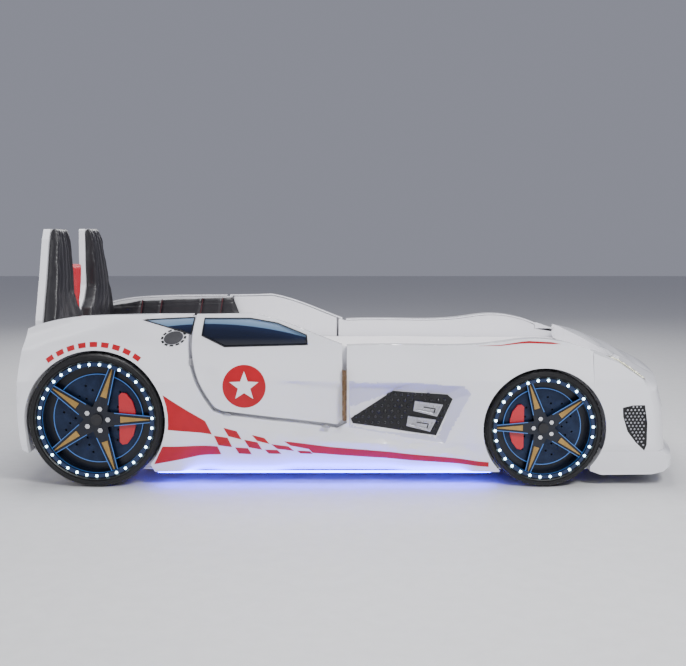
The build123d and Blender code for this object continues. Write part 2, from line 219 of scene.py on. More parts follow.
def woven(name, color, other):
    """A fine plain weave: two crossed sets of threads."""
    mat = material(name, color, 0.85, sheen=0.35)
    vary(mat, color, other, 6)
    waves = []
    for direction in ("X", "Y"):
        wave = node(mat, "ShaderNodeTexWave", Scale=260.0, Distortion=0.4)
        wave.bands_direction = direction
        link(mat, where(mat), wave.inputs["Vector"])
        waves.append(wave.outputs["Fac"])
    both = node(mat, "ShaderNodeMath", operation="MULTIPLY")
    link(mat, waves[0], both.inputs[0])
    link(mat, waves[1], both.inputs[1])
    return bump(mat, both.outputs[0], 0.35, 0.0006)


def wood(name, color, other):
    mat = material(name, color, 0.5)
    grain = noise(mat, 14, 6, 0.6, (0.6, 9, 14))
    shader = mat.node_tree.nodes["Principled BSDF"]
    link(mat, ramp(mat, grain, [(0.3, color), (0.62, other), (0.75, color)]), shader.inputs["Base Color"])
    return bump(mat, grain, 0.2, 0.0006)


def brushed(name, color, other, rough, metal=1.0):
    mat = material(name, color, rough, metal=metal)
    vary(mat, color, other, 30)
    return bump(mat, noise(mat, 60, 3, 0.6, (1, 1, 30)), 0.12, 0.0003)


def rough_plastic(name, color, other, rough=0.55):
    mat = material(name, color, rough)
    vary(mat, color, other, 20)
    return bump(mat, noise(mat, 900, 2), 0.25, 0.0004)


def math_node(mat, operation, a, b):
    made = node(mat, "ShaderNodeMath", operation=operation)
    for socket, value in zip(made.inputs, (a, b)):
        if isinstance(value, (int, float)):
            socket.default_value = value
        else:
            link(mat, value, socket)
    return made.outputs[0]


def window_tint():
    """A painted reflection: steel blue above a falling curve, navy below it."""
    navy = [(0.0, (0.002, 0.004, 0.012)), (0.45, (0.004, 0.008, 0.026)), (0.655, (0.008, 0.016, 0.05))]
    sky = [(0.672, (0.14, 0.24, 0.38)), (1.0, (0.34, 0.46, 0.62))]
    mat = material("window_tint", (0.02, 0.04, 0.09), 0.14, coat=0.4)
    place = node(mat, "ShaderNodeSeparateXYZ")
    link(mat, where(mat), place.inputs[0])
    along = math_node(mat, "ADD", place.outputs["X"], 0.50)
    fall = math_node(mat, "MULTIPLY", math_node(mat, "MULTIPLY", along, along), 0.42)
    raised = math_node(mat, "ADD", place.outputs["Z"], fall)
    height = math_node(mat, "ADD", raised, -0.557)
    span = node(mat, "ShaderNodeMapRange")
    span.inputs["From Min"].default_value = -0.07
    span.inputs["From Max"].default_value = 0.035
    link(mat, height, span.inputs["Value"])
    shader = mat.node_tree.nodes["Principled BSDF"]
    link(mat, ramp(mat, span.outputs["Result"], navy + sky), shader.inputs["Base Color"])
    return bump(mat, noise(mat, 5, 2), 0.03, 0.001)


WHITE = gloss_plastic("white_shell", (0.86, 0.86, 0.90), (0.89, 0.89, 0.93))
# painted shade: a lilac-grey white for the cove's slanting walls, standing for the shade in the recess
COVE_PAINTED_SHADE = gloss_plastic("cove_painted_shade", (0.56, 0.56, 0.74), (0.62, 0.62, 0.79), 0.3)
BOARD = gloss_plastic("white_board", (0.82, 0.82, 0.86), (0.85, 0.85, 0.88), 0.4)
WOOD = wood("slat_wood", (0.55, 0.38, 0.2), (0.66, 0.49, 0.29))
BLACK = rough_plastic("black_plastic", (0.012, 0.012, 0.014), (0.02, 0.02, 0.023))
GRILLE = rough_plastic("grille_black", (0.002, 0.002, 0.003), (0.005, 0.005, 0.006), 0.4)
# a touch lighter than the grille black: a painted grey highlight on the mesh's bumps
MESH_BUMP_HIGHLIGHT = rough_plastic("mesh_bump_painted_highlight", (0.008, 0.008, 0.010), (0.016, 0.016, 0.019), 0.2)
STEEL = brushed("zinc_steel", (0.5, 0.5, 0.52), (0.6, 0.6, 0.62), 0.32)
CHROME = brushed("chrome", (0.75, 0.76, 0.78), (0.82, 0.82, 0.84), 0.12)
SILVER = brushed("scoop_silver", (0.42, 0.42, 0.46), (0.54, 0.54, 0.58), 0.28, 0.7)
GREY = rough_plastic("cap_grey", (0.045, 0.045, 0.05), (0.075, 0.075, 0.08), 0.4)
BRONZE = brushed("hinge_bronze", (0.22, 0.14, 0.08), (0.3, 0.2, 0.12), 0.35)
GOLD = brushed("insert_gold", (0.40, 0.24, 0.07), (0.50, 0.31, 0.10), 0.36, 0.6)
# the brake disc's steel is coloured navy: painted blue light from the wheel's LEDs
DISC = brushed("disc_steel", (0.006, 0.014, 0.04), (0.014, 0.028, 0.07), 0.32, 0.5)
RUBBER = rough_plastic("rubber", (0.28, 0.28, 0.3), (0.34, 0.34, 0.36), 0.7)
TYRE = rough_plastic("tyre", (0.003, 0.003, 0.004), (0.006, 0.006, 0.007), 0.42)
# black plastic with a navy cast: the blue is painted light from the wheel's LEDs
RIM = gloss_plastic("rim_black", (0.001, 0.003, 0.010), (0.002, 0.006, 0.017), 0.34, 0.1)
RED = gloss_plastic("caliper_red", (0.50, 0.001, 0.010), (0.56, 0.002, 0.016), 0.3)
FILM = rough_plastic("film_red", (0.42, 0.0, 0.006), (0.47, 0.0, 0.010), 0.42)
FILM_WHITE = gloss_plastic("film_white", (0.85, 0.85, 0.87), (0.88, 0.88, 0.9), 0.25)
LEATHER = leather("leatherette", (0.007, 0.006, 0.009), (0.013, 0.012, 0.015))
RED_LEATHER = leather("red_leather", (0.46, 0.001, 0.010), (0.52, 0.003, 0.018))
# the cords are real; their dark red stands for a painted highlight along the raised ribs of the black
# quilt
PIPING_AND_HIGHLIGHT = leather("piping_painted_highlight", (0.05, 0.004, 0.009), (0.08, 0.006, 0.012))
CLOTH = woven("mattress_cloth", (0.83, 0.80, 0.84), (0.88, 0.85, 0.88))
TAPE = woven("mattress_tape", (0.74, 0.71, 0.76), (0.8, 0.77, 0.81))
LENS = gloss_plastic("lens", (0.20, 0.20, 0.10), (0.30, 0.30, 0.18), 0.08)
LENS_LIGHT = gloss_plastic("lens_light", (0.8, 0.8, 0.62), (0.9, 0.9, 0.75))
# navy is the window's own colour; the steel-blue band above the falling curve is a painted reflection
TINT_AND_REFLECTION = window_tint()
# the ring is dark plastic; its navy base is painted blue light spilling from the LEDs
LED_RING_PAINTED_GLOW = gloss_plastic("led_ring", (0.003, 0.010, 0.03), (0.006, 0.015, 0.04), 0.3, 0.1)
LED_DOT = gloss_plastic("led_dot", (0.8, 0.95, 1.0), (0.9, 1.0, 1.0))
# painted highlights: blue glints of LED light on spoke edges and rim rings, made to glow
EDGE_PAINTED_HIGHLIGHT = gloss_plastic("edge_painted_highlight", (0.02, 0.06, 0.16), (0.03, 0.09, 0.2))
UNDERGLOW = gloss_plastic("underglow", (0.3, 0.3, 0.9), (0.35, 0.35, 1.0))
glow(LENS_LIGHT, (1.0, 0.95, 0.7), 0.5)
# painted glow: blue LED light on the ring, which is no lamp
glow(LED_RING_PAINTED_GLOW, (0.04, 0.20, 0.8), 0.07)
glow(LED_DOT, (0.55, 0.85, 1.0), 12.0)
glow(EDGE_PAINTED_HIGHLIGHT, (0.07, 0.30, 1.0), 0.5)
glow(UNDERGLOW, (0.035, 0.03, 1.0), 44.0)


# ---- the sculpted side of the car ----------------------------------------------------------
SECTION = [(-0.01, 0.519), (0.05, 0.523), (0.15, 0.545), (0.365, 0.545), (0.49, 0.52), (0.7, 0.511)]


def section(z):
    """Half width of the moulded side at a height, before the sculpting below."""
    for (z0, w0), (z1, w1) in zip(SECTION, SECTION[1:]):
        if z <= z1:
            return mix(w0, w1, (z - z0) / (z1 - z0))
    return SECTION[-1][1]


def inset(x, z):
    """How far the skin is pressed in from its full section. Each term is one feature: its depth,
    times where it runs along the car, times where it runs in height."""
    rear_gap = hypot(x - REAR_AXLE, z - REAR_HUB_Z) - REAR_ARCH
    front_gap = hypot(x - FRONT_AXLE, z - FRONT_HUB_Z) - FRONT_ARCH
    from_wheel = max(min(rear_gap, front_gap), 0)
    # the arches stand proud of the panels between them
    flare = 0.007 * (1 - exp(-(from_wheel / 0.05) ** 2))
    waist = 0.010 * plateau(-0.66, -0.50, 0.28, 0.46, x) * (1 - step(0.44, 0.56, z))
    # below the crease the door leans in, sharply so towards its front edge
    crease = 0.372 - 0.02 * step(-0.5, 0.3, x)
    belly = 0.075 * max(crease - z, 0) * plateau(-0.62, -0.5, 0.34, 0.46, x)
    wedge = 0.006 + 0.016 * step(-0.30, -0.06, x)
    ledge = 0.011 * step(0.0, wedge, crease - z) * plateau(-0.300, -0.200, 0.1, 0.2, x)
    # the finger recess at the door's rear edge
    pocket = 0.006 * plateau(-0.532, -0.524, -0.500, -0.455, x) * plateau(0.352, 0.358, 0.385, 0.415, z)
    # the sill kicks out again under a line that falls towards the front
    sill = 0.230 - 0.1333 * (x + 0.446)
    kick = 0.012 * step(0.0, 0.014, sill - z) * plateau(-0.54, -0.44, 0.40, 0.46, x)
    # the tail and the roof lean in above the shoulder
    shoulder = 0.485 + 0.289 * (x + 1.085)
    lean = min(max(z - shoulder, 0) * 0.55, 0.024) * (1 - step(-0.78, -0.70, x))
    roof = 0.016 * step(0.485, 0.6, z) * plateau(-0.8, -0.66, -0.2, -0.1, x)
    return max(flare + waist + belly + ledge + pocket - kick, 0) + lean + roof


def settled(point):
    """Where a point of the CAD shell goes on the sculpted one: the full inset at the outer skin,
    and less of it the nearer the point is to the shell's inner edge."""
    x, y, z = point
    depth = (abs(y) - SHELL_BACK) / (section(z) - SHELL_BACK)
    if depth <= 0:
        return Vector(point)
    return Vector((x, y - (1 if y > 0 else -1) * min(depth, 1.1) * inset(x, z), z))


def nose_settled(point):
    """The nose with a sunken panel down the bonnet and a crease across its face."""
    x, y, z = point
    panel = step(0.36, 0.33, abs(y)) * plateau(0.86, 0.90, 1.00, 1.06, x)
    face = plateau(0.262, 0.268, 0.290, 0.330, z) * step(0.47, 0.42, abs(y)) * step(0.97, 1.00, x)
    return Vector((x - 0.009 * face, y, z - 0.006 * panel))


def grid_cut(bm, pitch, low, high, axes=(0, 2)):
    """Slices a mesh on a regular grid, so that it can follow a curved surface."""
    for axis in axes:
        count = int((high[axis] - low[axis]) / pitch)
        for index in range(1, count + 1):
            origin = Vector((0, 0, 0))
            origin[axis] = low[axis] + index * pitch
            normal = Vector((0, 0, 0))
            normal[axis] = 1
            geometry = bm.verts[:] + bm.edges[:] + bm.faces[:]
            bmesh.ops.bisect_plane(bm, geom=geometry, dist=1e-6, plane_co=origin, plane_no=normal)


def copy_of(name):
    """The CAD node's mesh as clean faces."""
    bm = bmesh.new()
    bm.from_mesh(NODES[name].data)
    bmesh.ops.remove_doubles(bm, verts=bm.verts, dist=2e-5)
    bmesh.ops.dissolve_limit(bm, angle_limit=radians(0.4), verts=bm.verts, edges=bm.edges)
    return bm


COVE = [(-0.030, 0.376), (0.198, 0.366), (0.372, 0.353), (0.396, 0.322), (0.305, 0.140), (-0.030, 0.196)]
COVE_BACK = 0.499


def in_shaded_cove(face):
    """Whether a face of a side shell is one of the slanting walls of the cove, which get painted shade."""
    middle = face.calc_center_median()
    skin = section(middle.z) - inset(middle.x, middle.z)
    slanted = abs(face.normal.y) < 0.985
    return slanted and COVE_BACK < abs(middle.y) < skin - 0.0015 and inside(middle.x, middle.z, COVE)


def sculpted(name, mat, body, pitch=0.016, edge=0.0022, place=settled, axes=(0, 2)):
    """A moulded skin: the CAD node's shape pressed to the sculpted side. Side shells have the cove's walls
    in a second, lilac-grey white that is painted shade."""
    bm = copy_of(name)
    low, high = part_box(name)
    if pitch:
        grid_cut(bm, pitch, low, high, axes)
    for vert in bm.verts:
        vert.co = place(vert.co)
    bmesh.ops.triangulate(bm, faces=[face for face in bm.faces if len(face.verts) > 4])
    has_cove_shade = name.endswith("side_shell")
    # the cove's slanting walls take the second material, the painted shade
    for face in bm.faces:
        face.material_index = 1 if has_cove_shade and in_shaded_cove(face) else 0
    obj = new_object(f"{name}_skin", bm, mat, body)
    if has_cove_shade:
        obj.data.materials.append(COVE_PAINTED_SHADE)
    smooth(obj, 28)
    if edge:
        bevel(obj, edge, 2, 40)
    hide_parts(name)
    return obj


def paint(name, mat, edge=0.0, angle=35):
    """A carried CAD node with its finished material."""
    obj = NODES[name]
    obj.data.materials.clear()
    obj.data.materials.append(mat)
    if edge:
        bevel(obj, edge, 2, angle)
    return obj


def on_skin(x, z, side, lift=0.0):
    """The point of the sculpted side at x, z."""
    return Vector((x, SIDES[side] * (section(z) - inset(x, z) + lift), z))


def tube(name, points, radius, mat, body, closed=True, sides=8):
    """A round cord through the points."""
    bm = bmesh.new()
    count = len(points)
    turn = [2 * pi * k / sides for k in range(sides)]
    rings = []
    for index, point in enumerate(points):
        ahead = points[(index + 1) % count] if closed or index < count - 1 else point
        behind = points[index - 1] if closed or index > 0 else point
        along = (ahead - behind).normalized()
        aside = along.cross(Vector((0.31, 0.52, 0.79))).normalized()
        up = along.cross(aside)
        rings.append([bm.verts.new(point + radius * (cos(a) * aside + sin(a) * up)) for a in turn])
    for index in range(count if closed else count - 1):
        low, high = rings[index], rings[(index + 1) % count]
        for k in range(sides):
            bm.faces.new((low[k], low[(k + 1) % sides], high[(k + 1) % sides], high[k]))
    if not closed:
        bm.faces.new(list(reversed(rings[0])))
        bm.faces.new(rings[-1])
    bmesh.ops.recalc_face_normals(bm, faces=bm.faces)
    return smooth(new_object(name, bm, mat, body), 60)


def dense(points, pitch, closed=True):
    """Extra points along a polygon's sides, no further apart than the pitch."""
    made = []
    pairs = list(zip(points, points[1:] + points[:1] if closed else points[1:]))
    for a, b in pairs:
        steps = max(1, int(hypot(b[0] - a[0], b[1] - a[1]) / pitch))
        made += [(mix(a[0], b[0], k / steps), mix(a[1], b[1], k / steps)) for k in range(steps)]
    return made if closed else made + [points[-1]]


def inside(x, z, polygon):
    """Whether x, z lies in a polygon."""
    hit = False
    for (x0, z0), (x1, z1) in zip(polygon, polygon[1:] + polygon[:1]):
        if (z0 > z) != (z1 > z) and x < x0 + (z - z0) * (x1 - x0) / (z1 - z0):
            hit = not hit
    return hit


def spots(polygon, pitch):
    """Staggered rows of points inside a polygon."""
    xs = [x for x, z in polygon]
    zs = [z for x, z in polygon]
    rise = pitch * 0.87
    made = []
    for row in range(int((max(zs) - min(zs)) / rise) + 1):
        for column in range(int((max(xs) - min(xs)) / pitch) + 1):
            x = min(xs) + (column + 0.5 * (row % 2)) * pitch
            z = min(zs) + row * rise
            if inside(x, z, polygon):
                made.append((x, z))
    return made


def domes(name, places, radius, height, mat):
    """Low round bumps, each at a place with the way it faces."""
    bm = bmesh.new()
    for place, facing in places:
        dome = bmesh.ops.create_uvsphere(bm, u_segments=10, v_segments=6, radius=radius)
        turn = Vector(facing).to_track_quat("Z", "Y").to_matrix().to_4x4()
        squash = Matrix.Translation(place) @ turn @ Matrix.Diagonal((1, 1, height / radius, 1))
        bmesh.ops.transform(bm, matrix=squash, verts=dome["verts"])
    return smooth(new_object(name, bm, mat, "bed"), 60)


def surface(name):
    """The CAD node's faces, to cast rays at."""
    return BVHTree.FromBMesh(copy_of(name))


# ---- windows, grilles and lamps ------------------------------------------------------------
WINDOW = [(-0.514, 0.576), (-0.360, 0.576), (-0.268, 0.560), (-0.170, 0.520), (-0.166, 0.487),
          (-0.448, 0.480), (-0.524, 0.518)]
QUARTER = [(-0.722, 0.571), (-0.548, 0.579), (-0.560, 0.522)]
VENT = [(-0.014, 0.232), (0.120, 0.324), (0.304, 0.312), (0.322, 0.298), (0.271, 0.178), (-0.010, 0.219)]
VENT_FACE, SCOOP_FACE = 0.5132, 0.5195      # where the vent's mesh and the scoops' trays face out
SCOOPS = [[(0.192, 0.301), (0.304, 0.286), (0.280, 0.232), (0.186, 0.252)],
          [(0.168, 0.248), (0.281, 0.232), (0.258, 0.180), (0.163, 0.199)]]
CORNER = [(0.903, 0.272), (0.930, 0.280), (0.968, 0.281), (0.978, 0.225), (0.978, 0.152),
          (0.974, 0.138), (0.948, 0.162), (0.920, 0.198), (0.906, 0.246)]
MOUTH = [(-0.245, 0.172), (0.245, 0.172), (0.245, 0.243), (-0.245, 0.243)]


def glazing(side):
    """Black rubber beads round the painted windows."""
    beads = [("window_bead", WINDOW, f"{side}_door"), ("quarter_bead", QUARTER, "bed")]
    for name, polygon, body in beads:
        path = [on_skin(x, z, side, 0.0003) for x, z in dense(polygon, 0.012)]
        tube(f"{side}_{name}", path, 0.0021, GRILLE, body)


def vent_bumps(side):
    """Bumps all over the vent's mesh, apart from the scoops."""
    sign = SIDES[side]
    places = []
    for x, z in spots(VENT, 0.0225):
        if not any(inside(x, z, scoop) for scoop in SCOOPS):
            places.append((settled((x, sign * VENT_FACE, z)), (0, sign, 0)))
    domes(f"{side}_vent_bumps", places, 0.0068, 0.0045, MESH_BUMP_HIGHLIGHT)


def scoop_slots(side):
    """The L-shaped black slot in each scoop's tray."""
    sign = SIDES[side]
    for index, (x, z) in enumerate(((0.199, 0.294), (0.176, 0.241))):
        path = [(x + 0.030, z - 0.022), (x + 0.070, z - 0.028), (x + 0.066, z - 0.042)]
        points = [settled((px, sign * SCOOP_FACE, pz)) for px, pz in dense(path, 0.006, False)]
        tube(f"{side}_scoop_slot_{index + 1}", points, 0.0022, GRILLE, "bed", False)


def nose_dots(side, tree):
    """Fine bumps on a nose corner's grille, found by rays from the side."""
    sign = SIDES[side]
    places = []
    for x, z in spots(CORNER, 0.0125):
        hit, normal, index, distance = tree.ray_cast(Vector((x, sign * 0.7, z)), Vector((0, -sign, 0)))
        if hit:
            places.append((hit, (0, sign, 0)))
    domes(f"{side}_corner_mesh", places, 0.0034, 0.0016, SILVER)


def mouth_dots(tree):
    """Bumps on the centre grille, found by rays from the front."""
    places = []
    for y, z in spots(MOUTH, 0.018):
        hit, normal, index, distance = tree.ray_cast(Vector((1.4, y, z)), Vector((-1, 0, 0)))
        if hit:
            places.append((hit, (1, 0, 0)))
    domes("mouth_mesh", places, 0.005, 0.0022, MESH_BUMP_HIGHLIGHT)


def headlight_detail(side, tree):
    """A daylight strip and small lamps showing through the lens."""
    sign = SIDES[side]
    steps = 16
    path, places = [], []
    for index in range(steps + 1):
        t = index / steps
        x = mix(0.868, 0.972, t)
        y = mix(0.488, 0.511, t) - 0.012 * sin(pi * t)
        hit, normal, face, distance = tree.ray_cast(Vector((x, sign * y, 0.7)), Vector((0, 0, -1)))
        if hit:
            path.append(hit)
            if index % 3 == 1:
                places.append((hit + Vector((0.004, -sign * 0.010, 0.0)), normal))
    tube(f"{side}_daylight_strip", path, 0.0016, LENS_LIGHT, "bed", False)
    domes(f"{side}_lamp_domes", places, 0.0045, 0.002, LENS_LIGHT)


def cap_dashes(side, count=12):
    """The dashed ring round the oval fuel cap."""
    long_half, short_half = 0.033, 0.021
    lean = radians(15)
    for index in range(count):
        a, b = 2 * pi * index / count, 2 * pi * (index + 0.62) / count
        dash = []
        for scale, angle in ((1.10, a), (1.34, a), (1.34, b), (1.10, b)):
            x, z = scale * long_half * cos(angle), scale * short_half * sin(angle)
            dash.append((CAP_X + x * cos(lean) - z * sin(lean), CAP_Z + x * sin(lean) + z * cos(lean)))
        film(f"cap_dash_{index + 1}", dash, GRILLE, "bed", side)


def trim():
    grilles = surface("nose_grilles")
    lenses = surface("headlight_lenses")
    for side in SIDES:
        glazing(side)
        vent_bumps(side)
        scoop_slots(side)
        nose_dots(side, grilles)
        headlight_detail(side, lenses)
        cap_dashes(side)
    mouth_dots(grilles)


# ---- body and frame ------------------------------------------------------------------------
def body_panels():
    for side in SIDES:
        sculpted(f"{side}_side_shell", WHITE, "bed")
        sculpted(f"{side}_door_skin", WHITE, f"{side}_door", pitch=0.012)
        sculpted(f"{side}_door_window", TINT_AND_REFLECTION, f"{side}_door", pitch=0.02, edge=0.001)
        paint(f"{side}_side_board", BOARD)
        paint(f"{side}_door_panel", BOARD, 0.001)
    sculpted("quarter_windows", TINT_AND_REFLECTION, "bed", pitch=0.02, edge=0.001)
    sculpted("vent_meshes", GRILLE, "bed", pitch=0.02, edge=0)
    sculpted("vent_scoops", SILVER, "bed", pitch=0.02, edge=0.0012)
    sculpted("fuel_caps", GREY, "bed", pitch=0, edge=0.001)
    sculpted("nose_shell", WHITE, "bed", 0.018, 0.0016, nose_settled, axes=(0, 1, 2))
    for name in ("front_splitter", "tail_shell"):
        paint(name, WHITE, 0.002)
    paint("headlight_lenses", LENS)
    paint("nose_grilles", GRILLE)


def frame_parts():
    for name in ("head_board", "foot_board"):
        paint(name, BOARD, 0.001)
    for name in ("slats", "deck_rails", "legs"):
        paint(name, WOOD, 0.001)
    for name in ("feet", "control_box", "rocker_switch", "dc_inlet", "hub_caps"):
        paint(name, BLACK, 0.0006)
    for name in ("corner_brackets", "frame_screws", "door_magnets"):
        paint(name, STEEL, 0.0004)
    for side in SIDES:
        paint(f"{side}_door_strike", STEEL, 0.0004)
        paint(f"{side}_hinge_leaf", BRONZE, 0.0003)
        paint(f"{side}_door_leaf", BRONZE, 0.0003)
    paint("hinge_pins", BRONZE, 0.0003)
    paint("door_rests", RUBBER, 0.0008)
    paint("underglow_strips", UNDERGLOW)


# ---- wheels ----------------------------------------------------------------------------------
def wheel_nodes():
    for side in SIDES:
        for place in WHEELS:
            paint(f"{side}_{place}_rim", RIM, 0.0012)
    paint("spoke_inserts", GOLD, 0.0005)
    paint("brake_discs", DISC, 0.0004)
    paint("calipers", RED, 0.0018)
    paint("led_rings", LED_RING_PAINTED_GLOW, 0.0008)
    paint("lug_nuts", CHROME, 0.0006)


def turned(name, place, side, profile, mat, segments=120, blocks=None):
    """A ring turned round a wheel's axle from (radius, y) points; blocks cut its outer edge."""
    x, z = WHEELS[place][:2]
    bm = bmesh.new()
    rings = []
    for index in range(segments):
        a = 2 * pi * index / segments
        ring = []
        for radius, y in profile:
            rho = radius - (blocks(radius, index) if blocks else 0.0)
            ring.append(bm.verts.new((x + rho * cos(a), SIDES[side] * y, z + rho * sin(a))))
        rings.append(ring)
    for index in range(segments):
        low, high = rings[index], rings[(index + 1) % segments]
        for k in range(len(profile)):
            other = (k + 1) % len(profile)
            bm.faces.new((low[k], low[other], high[other], high[k]))
    bmesh.ops.recalc_face_normals(bm, faces=bm.faces)
    return smooth(new_object(name, bm, mat, "bed"), 40)


def tyre(side, place):
    """A low tyre: bead, stepped sidewall, rounded shoulder and a grooved tread."""
    r = WHEELS[place][2]
    bead, wall = 0.870 * r, 0.130 * r
    # each step of the sidewall: its share of the way out, and how far it lies behind the face
    sidewall = [(0.05, 0.003), (0.16, 0.001), (0.20, 0.003), (0.26, 0.003), (0.30, 0), (0.60, 0.0005),
                (0.64, 0.0025), (0.69, 0.0025), (0.73, 0.002), (0.88, 0.006), (0.96, 0.012)]
    profile = [(bead, TYRE_BACK), (bead, TYRE_FACE - 0.007)]
    profile += [(bead + share * wall, TYRE_FACE - behind) for share, behind in sidewall]
    profile.append((r - 0.0004, TYRE_FACE - 0.019))
    for middle in (0.513, 0.502, 0.491):
        profile += [(r, middle + 0.003), (r - 0.003, middle + 0.0018)]
        profile += [(r - 0.003, middle - 0.0018), (r, middle - 0.003)]
    profile += [(r - 0.002, TYRE_BACK + 0.004), (bead + 0.7 * wall, TYRE_BACK)]

    def blocks(radius, index):
        return 0.0022 if index % 5 == 0 and radius > r - 0.0035 else 0.0

    made = turned(f"{side}_{place}_tyre_rubber", place, side, profile, TYRE, 240, blocks)
    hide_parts(f"{side}_{place}_tyre")


def painted_highlight_ring(side, place, name, ratio, y, half):
    """A thin glowing line round the wheel: a painted blue highlight."""
    r = WHEELS[place][2] * ratio
    corners = [pi / 4 + k * pi / 2 for k in range(4)]
    profile = [(r + half * cos(a), y + half * sin(a)) for a in corners]
    turned(f"{side}_{place}_{name}", place, side, profile, EDGE_PAINTED_HIGHLIGHT, 96)


def led_dots(side, place):
    """The ring of lit domes round a rim."""
    x, z, r = WHEELS[place]
    sign = SIDES[side]
    count = LED_COUNT[place]
    reach = 0.834 * r
    places = []
    for index in range(count):
        a = 2 * pi * index / count + 0.04
        places.append((Vector((x + reach * cos(a), sign * 0.5332, z + reach * sin(a))), (0, sign, 0)))
    domes(f"{side}_{place}_led_dots", places, 0.0050, 0.0022, LED_DOT)


def bar(bm, start, end, half, low_y, high_y):
    """A slim bar between two (x, z) points, across a range of y."""
    along = (end - start).normalized()
    out = Vector((-along.y, along.x)) * half
    corners = [start + out, end + out, end - out, start - out]
    rings = [[bm.verts.new((c.x, y, c.y)) for c in corners] for y in (low_y, high_y)]
    bm.faces.new(rings[0])
    bm.faces.new(list(reversed(rings[1])))
    for index in range(4):
        other = (index + 1) % 4
        bm.faces.new((rings[0][other], rings[0][index], rings[1][index], rings[1][other]))


def spoke_edges(side, place):
    """Two thin glowing ribs along each spoke: painted blue highlights on its edges."""
    x, z, r = WHEELS[place]
    hub = Vector((x, z))
    low_y, high_y = SIDES[side] * 0.5155, SIDES[side] * 0.5175
    bm = bmesh.new()
    for index in range(SPOKES):
        angle = FIRST_SPOKE[place] + index * 2 * pi / SPOKES
        along = Vector((cos(angle), sin(angle)))
        out = Vector((-along.y, along.x))
        for way in (-1, 1):
            start = hub + along * 0.26 * r + out * way * 0.095 * r
            end = hub + along * 0.80 * r + out * way * 0.045 * r
            bar(bm, start, end, 0.0011, low_y, high_y)
    bmesh.ops.recalc_face_normals(bm, faces=bm.faces)
    new_object(f"{side}_{place}_spoke_edges", bm, EDGE_PAINTED_HIGHLIGHT, "bed")


def wheels():
    wheel_nodes()
    for side in SIDES:
        for place in WHEELS:
            tyre(side, place)
            led_dots(side, place)
            spoke_edges(side, place)
            painted_highlight_ring(side, place, "disc_line", ratio=0.665, y=0.4915, half=0.0016)
            painted_highlight_ring(side, place, "barrel_line", ratio=0.80, y=0.520, half=0.0009)


# ---- printed films -----------------------------------------------------------------------------
def film(name, outline, mat, body, side, lift=LIFT):
    """A thin printed film on the sculpted side, from (x, z) points."""
    bm = bmesh.new()
    sign = SIDES[side]
    verts = [bm.verts.new((x, 0, z)) for x, z in outline]
    bm.faces.new(verts)
    xs = [x for x, z in outline]
    zs = [z for x, z in outline]
    grid_cut(bm, 0.006, (min(xs), 0, min(zs)), (max(xs), 0, max(zs)))
    for vert in bm.verts:
        x, z = vert.co.x, vert.co.z
        vert.co.y = sign * (section(z) - inset(x, z) + lift)
    bmesh.ops.recalc_face_normals(bm, faces=bm.faces)
    if bm.faces[:][0].normal.y * sign < 0:
        bmesh.ops.reverse_faces(bm, faces=bm.faces)
    smooth(new_object(f"{side}_{name}", bm, mat, body), 40)


def on_circle(x, z, r, angle):
    return (x + r * cos(angle), z + r * sin(angle))


def star_points(x, z, r, ratio=0.42):
    """A five-pointed star with one point up."""
    radii = [r if index % 2 == 0 else r * ratio for index in range(10)]
    return [(x + out * sin(pi * i / 5), z + out * cos(pi * i / 5)) for i, out in enumerate(radii)]


def sheared(x, z, width, height, lean, drop):
    """A leaning parallelogram with its top left corner at x, z."""
    return [(x, z), (x + width, z - drop), (x + width + lean, z - drop - height), (x + lean, z - height)]


CHEQUERS = [sheared(-0.486, 0.176, 0.047, 0.034, 0.015, 0.006),
            sheared(-0.453, 0.205, 0.045, 0.030, 0.017, 0.012),
            sheared(-0.415, 0.135, 0.044, 0.023, 0.013, 0.003),
            sheared(-0.383, 0.163, 0.045, 0.028, 0.016, 0.009),
            sheared(-0.357, 0.180, 0.043, 0.021, 0.018, 0.011),
            sheared(-0.314, 0.127, 0.043, 0.015, 0.014, 0.002),
            sheared(-0.291, 0.147, 0.058, 0.018, 0.020, 0.010),
            sheared(-0.204, 0.120, 0.044, 0.010, 0.011, 0.002)]


def sill_films(side):
    """Two wedges ahead of the rear wheel, chequers that shrink away from them, and a long stripe."""
    arch = [on_circle(REAR_AXLE, REAR_HUB_Z, 0.248, radians(angle)) for angle in (21, 12, 4, -4, -7)]
    upper = arch + [(-0.493, 0.180), (-0.515, 0.226), (-0.568, 0.260)]
    lower = [(-0.658, 0.143), (-0.475, 0.138), (-0.463, 0.109), (-0.537, 0.104), (-0.612, 0.092),
             (-0.690, 0.079)]
    stripe = [(-0.247, 0.156), (-0.090, 0.134), (0.451, 0.086), (0.451, 0.069), (-0.056, 0.104),
              (-0.150, 0.112), (-0.163, 0.126), (-0.225, 0.139)]
    film("wedge_upper", upper, FILM, "bed", side)
    film("wedge_lower", lower, FILM, "bed", side)
    film("stripe", stripe, FILM, "bed", side)
    for index, outline in enumerate(CHEQUERS):
        film(f"chequer_{index + 1}", outline, FILM, "bed", side)


def fender_film(side):
    """A thin line along the top edge of the front fender."""
    line = [(0.398, 0.483), (0.489, 0.487), (0.560, 0.498), (0.583, 0.500), (0.660, 0.496), (0.692, 0.490),
            (0.660, 0.490), (0.583, 0.493), (0.550, 0.491), (0.489, 0.484)]
    film("fender_line", line, FILM, "bed", side)


def roundel(side, count=48):
    """A red disc with a white star on the door."""
    door = f"{side}_door"
    disc = [on_circle(ROUNDEL_X, ROUNDEL_Z, 0.0735, 2 * pi * index / count) for index in range(count)]
    star = star_points(ROUNDEL_X, ROUNDEL_Z, 0.052)
    film("roundel", disc, FILM, door, side)
    film("roundel_star", star, FILM_WHITE, door, side, 3 * LIFT)


